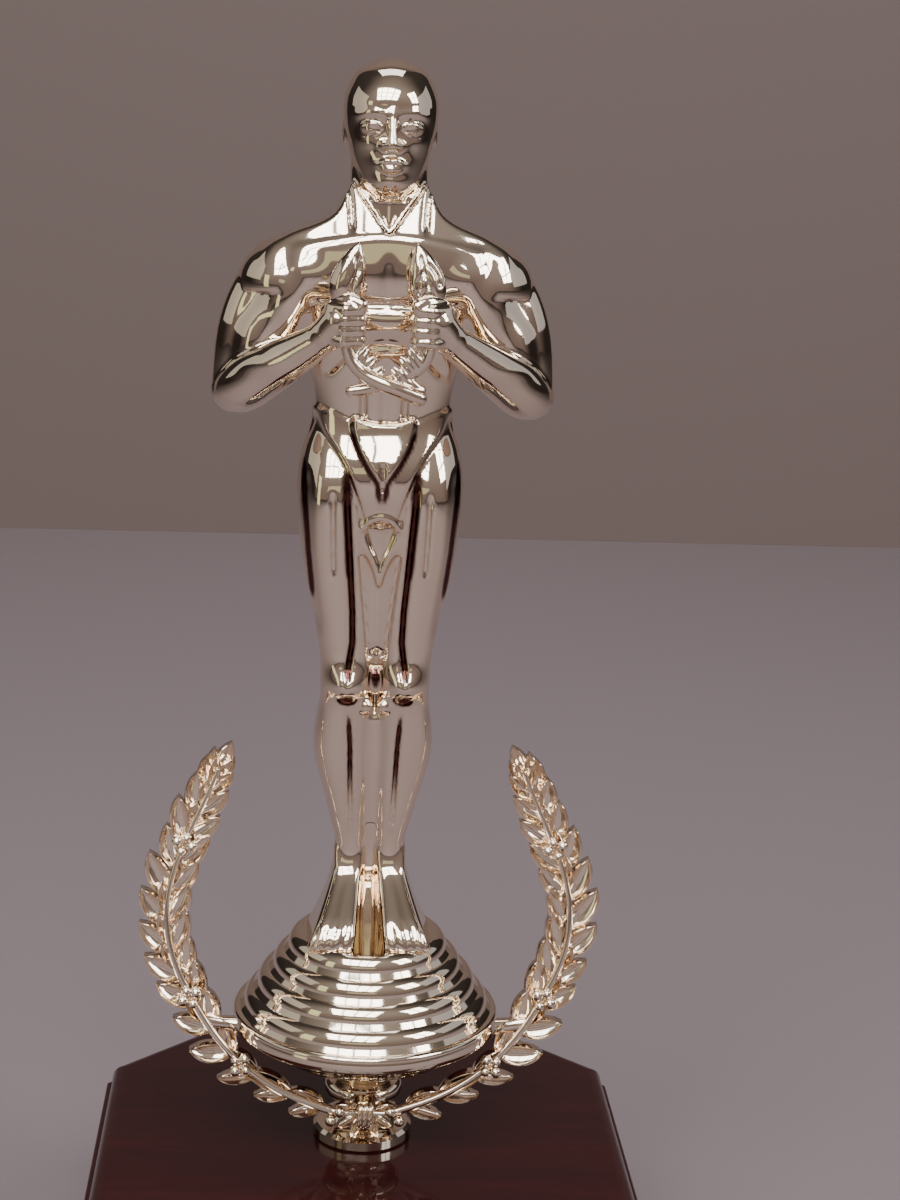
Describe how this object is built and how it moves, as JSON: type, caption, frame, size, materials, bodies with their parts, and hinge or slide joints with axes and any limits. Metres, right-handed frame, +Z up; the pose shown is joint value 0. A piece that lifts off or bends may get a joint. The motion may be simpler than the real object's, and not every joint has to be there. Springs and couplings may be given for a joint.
{
  "type": "figure trophy",
  "caption": "Pale gold plated standing figure holding a laurel wreath, on a stepped dome and cup with an open laurel wreath, on a dark clipped-corner wood base.",
  "frame": {"origin": "centre of the underside of the base, on the felt", "axes": "+Z up along the figure, the figure faces -Y, +X to the viewer's right"},
  "size_m": [0.1226, 0.1226, 0.29],
  "materials": {
    "figure_gold": "mirror pale gold, vacuum-metallised and lacquered plastic",
    "plated_gold": "mirror pale gold, vacuum-metallised and lacquered plastic",
    "wreath_gold": "mirror pale gold on finely relieved leaves",
    "lacquered_wood": "dark mahogany under high-gloss lacquer",
    "felt": "short-pile felt",
    "plate_metal": "fine satin, blank, with a bevelled edge",
    "tape": "double-sided mounting film",
    "steel": "bright zinc plate"
  },
  "bodies": {
    "root": {"wood_base": "lacquered_wood", "felt_pad": "felt", "name_plate": "plate_metal", "plate_tape": "tape", "tie_rod": "steel", "lower_nut": "steel", "upper_nut": "steel", "flat_washer": "steel", "lock_washer": "steel", "foot_collar": "plated_gold", "wreath_ring": "plated_gold", "cup_bowl": "plated_gold", "rim_band": "plated_gold", "stepped_dome": "plated_gold", "laurel_left": "wreath_gold", "laurel_right": "wreath_gold", "wreath_knot": "wreath_gold", "figure_front": "figure_gold", "figure_back": "figure_gold", "locating_pins": "figure_gold", "figure_screws": "steel", "hand_wreath": "figure_gold"}
  },
  "joints": []
}
